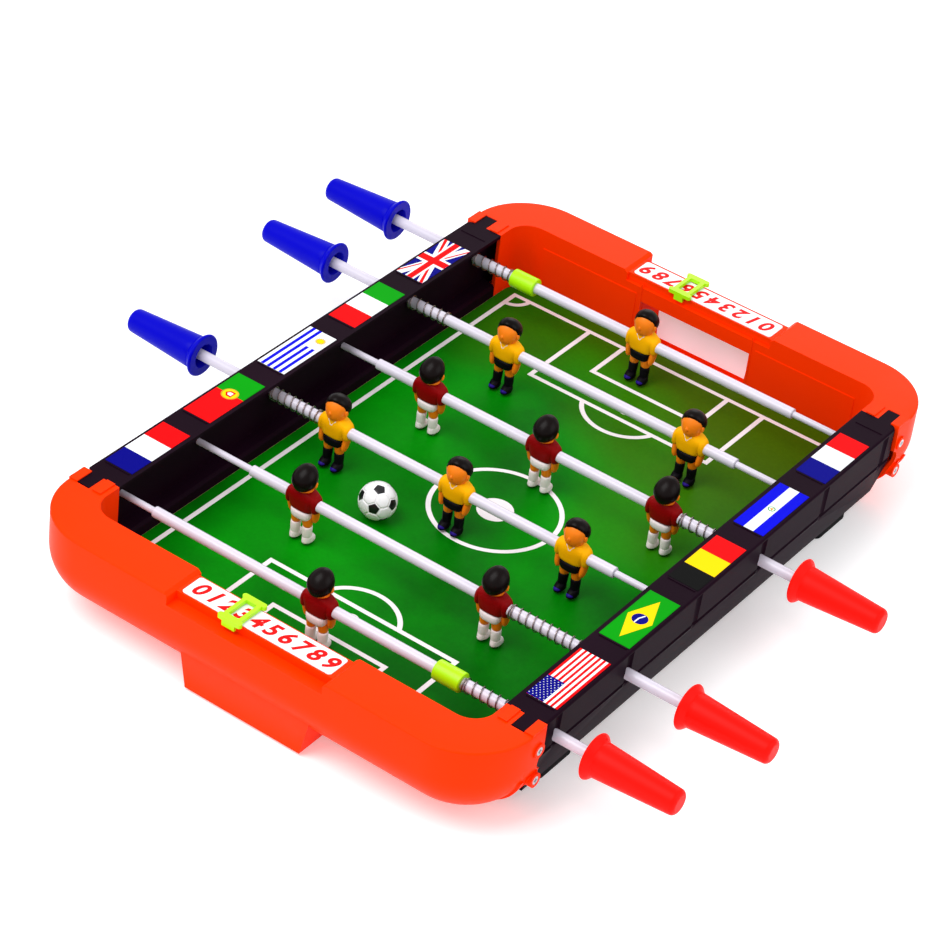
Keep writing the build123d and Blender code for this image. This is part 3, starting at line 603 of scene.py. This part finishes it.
class PrintFlags(bpy.types.Operator):
    """Printed flag stickers on both rails, drawn plainly and without lettering"""
    bl_idname = "foosball.print_flags"
    bl_label = "Print flags"

    inks = ("ink_white", "ink_red", "ink_blue", "ink_bright_blue", "ink_green", "ink_yellow", "ink_black",
            "ink_gold")

    def execute(self, context):
        white, red, navy, blue, green, yellow, black, gold = range(8)
        rails = {
            "right": [self.stripes_and_stars, self.rhombus, (black, yellow, red), self.banded, (navy, white, red)],
            "left": [(red, white, navy), self.two_fifths, self.sun_stripes, (green, white, red), self.crosses],
        }
        for rail, flags in rails.items():
            low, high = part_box(f"flag_stickers_{rail}")
            length = high.x - low.x - (len(flags) - 1) * ROD_PITCH
            bm = bmesh.new()
            for number, flag in enumerate(flags):
                near = low.x + number * ROD_PITCH
                # left and up as the flag's own viewer sees them
                if rail == "right":
                    corner, along, up = (near, low.y), length, high.y - low.y
                else:
                    corner, along, up = (near + length, high.y), -length, low.y - high.y
                self.corner, self.along, self.up, self.bm = corner, along, up, bm
                self.low, self.top = low.z, high.z
                if isinstance(flag, tuple):
                    for bar, ink in enumerate(flag):
                        self.area(bar / 3, 0, (bar + 1) / 3, 1, ink, 0)
                else:
                    flag()
            piece = new_piece(f"flags_{rail}", bm, [look(ink) for ink in self.inks], "table",
                              smooth=False)
            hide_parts(f"flag_stickers_{rail}")
        return {"FINISHED"}

    def outline(self, points, ink, layer):
        """A printed area from points in flag units; each layer lies just above the one before."""
        low = self.low if layer == 0 else self.top + (layer - 1) * LAYER_THICK
        high = self.top + layer * LAYER_THICK
        x, y = self.corner
        slab(self.bm, [(x + u * self.along, y + v * self.up) for u, v in points], low, high, ink)

    def area(self, u0, v0, u1, v1, ink, layer):
        self.outline(oblong(u0, v0, u1, v1), ink, layer)

    def round_area(self, u, v, radius, ink, layer, points=28, inner=1.0):
        """A disc, or a star when inner is below one; radius is in units of the flag's height."""
        aspect = abs(self.up / self.along)
        outline = []
        for k in range(points):
            a = 2 * math.pi * k / points
            r = radius * (inner if k % 2 else 1.0)
            outline.append((u + r * math.cos(a) * aspect, v + r * math.sin(a)))
        self.outline(outline, ink, layer)

    def stripes_and_stars(self):
        for stripe in range(13):
            self.area(0, stripe / 13, 1, (stripe + 1) / 13, 0 if stripe % 2 else 1, 0)
        self.area(0, 6 / 13, 0.4, 1, 2, 1)
        for row in range(9):
            count = 5 if row % 2 else 6
            for column in range(count):
                u = 0.4 * ((column + 0.5) / 6 + (row % 2) / 12)
                v = 6 / 13 + (7 / 13) * (row + 0.5) / 9
                self.round_area(u, v, 0.022, 0, 2, points=10, inner=0.5)

    def rhombus(self):
        self.area(0, 0, 1, 1, 4, 0)
        self.outline([(0.1, 0.5), (0.5, 0.1), (0.9, 0.5), (0.5, 0.9)], 5, 1)
        self.round_area(0.5, 0.5, 0.235, 2, 2, points=36)
        self.outline([(0.41, 0.565), (0.5, 0.56), (0.585, 0.47), (0.575, 0.435), (0.5, 0.515), (0.408, 0.525)], 0, 3)

    def banded(self):
        for band, ink in enumerate((3, 0, 3)):
            self.area(0, band / 3, 1, (band + 1) / 3, ink, 0)
        self.round_area(0.5, 0.5, 0.115, 4, 1)
        self.round_area(0.5, 0.5, 0.085, 0, 2)
        self.outline([(0.47, 0.46), (0.53, 0.46), (0.5, 0.56)], 7, 3)

    def two_fifths(self):
        self.area(0, 0, 0.4, 1, 4, 0)
        self.area(0.4, 0, 1, 1, 1, 0)
        self.round_area(0.4, 0.5, 0.27, 7, 1, points=36)
        self.round_area(0.4, 0.5, 0.225, 5, 2, points=36)
        self.outline([(0.345, 0.62), (0.345, 0.45), (0.4, 0.34), (0.455, 0.45), (0.455, 0.62)], 1, 3)
        self.outline([(0.37, 0.58), (0.37, 0.47), (0.4, 0.41), (0.43, 0.47), (0.43, 0.58)], 0, 4)

    def sun_stripes(self):
        self.area(0, 0, 1, 1, 0, 0)
        for stripe in range(4):
            start = 0.36 if stripe > 1 else 0.0
            self.area(start, (2 * stripe + 1) / 9, 1, (2 * stripe + 2) / 9, 3, 1)
        self.round_area(0.17, 0.72, 0.2, 7, 1, points=32, inner=0.62)
        self.round_area(0.17, 0.72, 0.11, 5, 2)

    def crosses(self):
        self.area(0, 0, 1, 1, 2, 0)
        for flip in (0, 1):
            def at(u, v):
                return (u, 1 - v) if flip else (u, v)
            self.outline([at(0, 0), at(0.1, 0), at(1, 0.8), at(1, 1), at(0.9, 1), at(0, 0.2)], 0, 1 + flip)
        for turn in (0, 1):
            def at(u, v):
                return (1 - u, 1 - v) if turn else (u, v)
            self.outline([at(0, 0), at(0.5, 0.5), at(0.44, 0.5), at(0, 0.115)], 1, 3)
            self.outline([at(0, 1), at(0.5, 0.5), at(0.56, 0.5), at(0.06, 1)], 1, 3)
        self.area(0, 1 / 3, 1, 2 / 3, 0, 4)
        self.area(0.4, 0, 0.6, 1, 0, 5)
        self.area(0, 0.4, 1, 0.6, 1, 6)
        self.area(0.44, 0, 0.56, 1, 1, 7)


class PrintScores(bpy.types.Operator):
    """Red slanted digits from nought to nine on both score strips"""
    bl_idname = "foosball.print_scores"
    bl_label = "Print scores"

    def execute(self, context):
        sizes = context.scene.foosball_digits
        for end, name in ((-1, "near"), (1, "far")):
            low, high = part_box(f"score_strip_{name}")
            bm = bmesh.new()
            for digit in range(10):
                text = bpy.data.curves.new(f"digit_{digit}", "FONT")
                text.body = str(digit)
                text.align_x, text.align_y = "CENTER", "CENTER"
                text.size = sizes.height
                text.shear = sizes.slant
                text.offset = 0.5 * MM
                text.resolution_u = 4
                holder = bpy.data.objects.new(text.name, text)
                mesh = bpy.data.meshes.new_from_object(holder)
                # the digits read from outside the table's end
                along = end * (sizes.step * digit - 4.5 * sizes.step)
                place = (Matrix.Translation(((low.x + high.x) / 2 + end * 0.6 * MM, along, high.z + 0.02 * MM))
                         @ Matrix.Rotation(end * math.pi / 2, 4, "Z"))
                mesh.transform(place)
                bm.from_mesh(mesh)
                bpy.data.objects.remove(holder)
                bpy.data.curves.remove(text)
                bpy.data.meshes.remove(mesh)
            faces = list(bm.faces)
            moved = bmesh.ops.extrude_face_region(bm, geom=faces)["geom"]
            bmesh.ops.translate(bm, vec=(0, 0, DIGIT_THICK),
                                verts=[v for v in moved if isinstance(v, bmesh.types.BMVert)])
            new_piece(f"score_digits_{name}", bm, [look("digit_red")], "table", smooth=False)
        return {"FINISHED"}


class SewBall(bpy.types.Operator):
    """White ball with twelve black panels and fine seams"""
    bl_idname = "foosball.sew_ball"
    bl_label = "Sew ball"

    def execute(self, context):
        sizes = context.scene.foosball_ball
        white, black, seam = range(3)
        seam_depth = 0.22 * MM
        low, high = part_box("ball")
        centre, radius = (low + high) / 2, (high.z - low.z) / 2 - 0.04 * MM
        bm = bmesh.new()
        bmesh.ops.create_icosphere(bm, subdivisions=1, radius=radius)
        edge = bm.edges[:][0].calc_length()
        bmesh.ops.bevel(bm, geom=bm.verts[:], offset=edge / 3, offset_type="OFFSET", segments=1, profile=0.5,
                        affect="VERTICES", material=-1)
        for face in bm.faces:
            face.material_index = black if len(face.verts) == 5 else white
        panels = bm.faces[:]
        bmesh.ops.inset_individual(bm, faces=panels, thickness=sizes.seam, depth=0.0, use_even_offset=True)
        painted(bm, set(panels), seam)
        bmesh.ops.poke(bm, faces=panels)
        bmesh.ops.subdivide_edges(bm, edges=bm.edges[:], cuts=sizes.steps, use_grid_fill=True)
        inner = {v for v in bm.verts if all(f.material_index == seam for f in v.link_faces)}
        for v in bm.verts:
            v.co = v.co.normalized() * (radius - (seam_depth if v in inner else 0.0))
        for face in bm.faces:
            if face.material_index == seam:
                face.material_index = white
        turn = Matrix.Rotation(0.5, 4, "X") @ Matrix.Rotation(0.85, 4, "Y") @ Matrix.Rotation(0.3, 4, "Z")
        bmesh.ops.transform(bm, matrix=Matrix.Translation(centre) @ turn, verts=bm.verts)
        piece = new_piece("ball_sewn", bm, [look("ball_white"), look("ball_black")], "ball")
        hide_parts("ball")
        return {"FINISHED"}


class BuildStudio(bpy.types.Operator):
    """Pale floor, soft studio light and the camera"""
    bl_idname = "foosball.build_studio"
    bl_label = "Build studio"

    # name, place, size in metres and power in watts of each soft light
    lamps = (("key", (-0.9, 0.5, 1.7), 1.3, 26.0), ("fill", (0.3, -1.9, 1.3), 1.6, 12.0),
             ("rim", (1.9, 0.8, 1.2), 1.2, 8.0))
    floor_half, floor_drop = 12, 0.2 * MM
    sky_strength = 0.8

    def execute(self, context):
        settings = context.scene.foosball_studio
        scene = context.scene
        bm = bmesh.new()
        bmesh.ops.create_grid(bm, x_segments=1, y_segments=1, size=self.floor_half)
        mesh = bpy.data.meshes.new("studio_floor")
        bm.to_mesh(mesh)
        bm.free()
        mesh.materials.append(finish("studio_floor", (0.9, 0.9, 0.91), roughness=0.7, mottle=0.004,
                                     mottle_scale=2.0, grain=0.0, glow=0.3))
        floor = bpy.data.objects.new("studio_floor", mesh)
        floor.location.z = -self.floor_drop
        scene.collection.objects.link(floor)

        world = bpy.data.worlds.new("studio_world")
        world.use_nodes = True
        world.node_tree.nodes["Background"].inputs["Color"].default_value = (1, 1, 1, 1)
        world.node_tree.nodes["Background"].inputs["Strength"].default_value = self.sky_strength
        scene.world = world
        for name, where, size, power in self.lamps:
            light = bpy.data.lights.new(f"studio_{name}", "AREA")
            light.size, light.energy = size, power
            lamp = bpy.data.objects.new(light.name, light)
            lamp.location = where
            lamp.rotation_euler = (-Vector(where)).to_track_quat("-Z", "Y").to_euler()
            scene.collection.objects.link(lamp)

        forward = Vector((math.cos(settings.elevation) * math.cos(settings.azimuth),
                          math.cos(settings.elevation) * math.sin(settings.azimuth), -math.sin(settings.elevation)))
        aim = Vector((settings.aim_x, settings.aim_y, RAIL_TOP))
        level = forward.cross(Vector((0, 0, 1))).normalized()
        upright = level.cross(forward)
        right = level * math.cos(settings.roll) + upright * math.sin(settings.roll)
        up = upright * math.cos(settings.roll) - level * math.sin(settings.roll)
        camera = bpy.data.objects.new("studio_camera", bpy.data.cameras.new("studio_camera"))
        camera.data.sensor_width = 36
        camera.data.lens = settings.lens
        camera.matrix_world = Matrix.Translation(aim - forward * settings.distance) @ Matrix(
            (right, up, -forward)).transposed().to_4x4()
        scene.collection.objects.link(camera)
        scene.camera = camera
        scene.view_settings.view_transform = "Standard"
        return {"FINISHED"}


class FOOSBALL_PT_looks(bpy.types.Panel):
    """Lists the steps in the sidebar"""
    bl_idname = "FOOSBALL_PT_looks"
    bl_label = "Foosball table"
    bl_space_type = "VIEW_3D"
    bl_region_type = "UI"
    bl_category = "Foosball"

    def draw(self, context):
        scene = context.scene
        for step in STEPS:
            self.layout.operator(step.bl_idname)
        for group in GROUPS:
            settings = getattr(scene, group)
            box = self.layout.box()
            for name in settings.bl_rna.properties.keys():
                if name not in ("rna_type", "name"):
                    box.prop(settings, name)


STEPS = (DressShell, DressRods, PrintPitch, CoilSprings, MouldPlayers, PrintFlags, PrintScores, SewBall, BuildStudio)
GROUPS = {"foosball_pitch": PitchPrint, "foosball_spring": SpringSizes, "foosball_digits": ScoreDigits,
          "foosball_ball": BallSizes, "foosball_studio": StudioSettings}


def register():
    for group in GROUPS.values():
        bpy.utils.register_class(group)
    for step in (*STEPS, FOOSBALL_PT_looks):
        bpy.utils.register_class(step)
    for name, group in GROUPS.items():
        setattr(bpy.types.Scene, name, PointerProperty(type=group))


def unregister():
    for name in GROUPS:
        delattr(bpy.types.Scene, name)
    for step in (FOOSBALL_PT_looks, *reversed(STEPS)):
        bpy.utils.unregister_class(step)
    for group in GROUPS.values():
        bpy.utils.unregister_class(group)


def main():
    register()
    for step in STEPS:
        category, action = step.bl_idname.split(".")
        getattr(getattr(bpy.ops, category), action)()


if __name__ == "__main__":
    main()
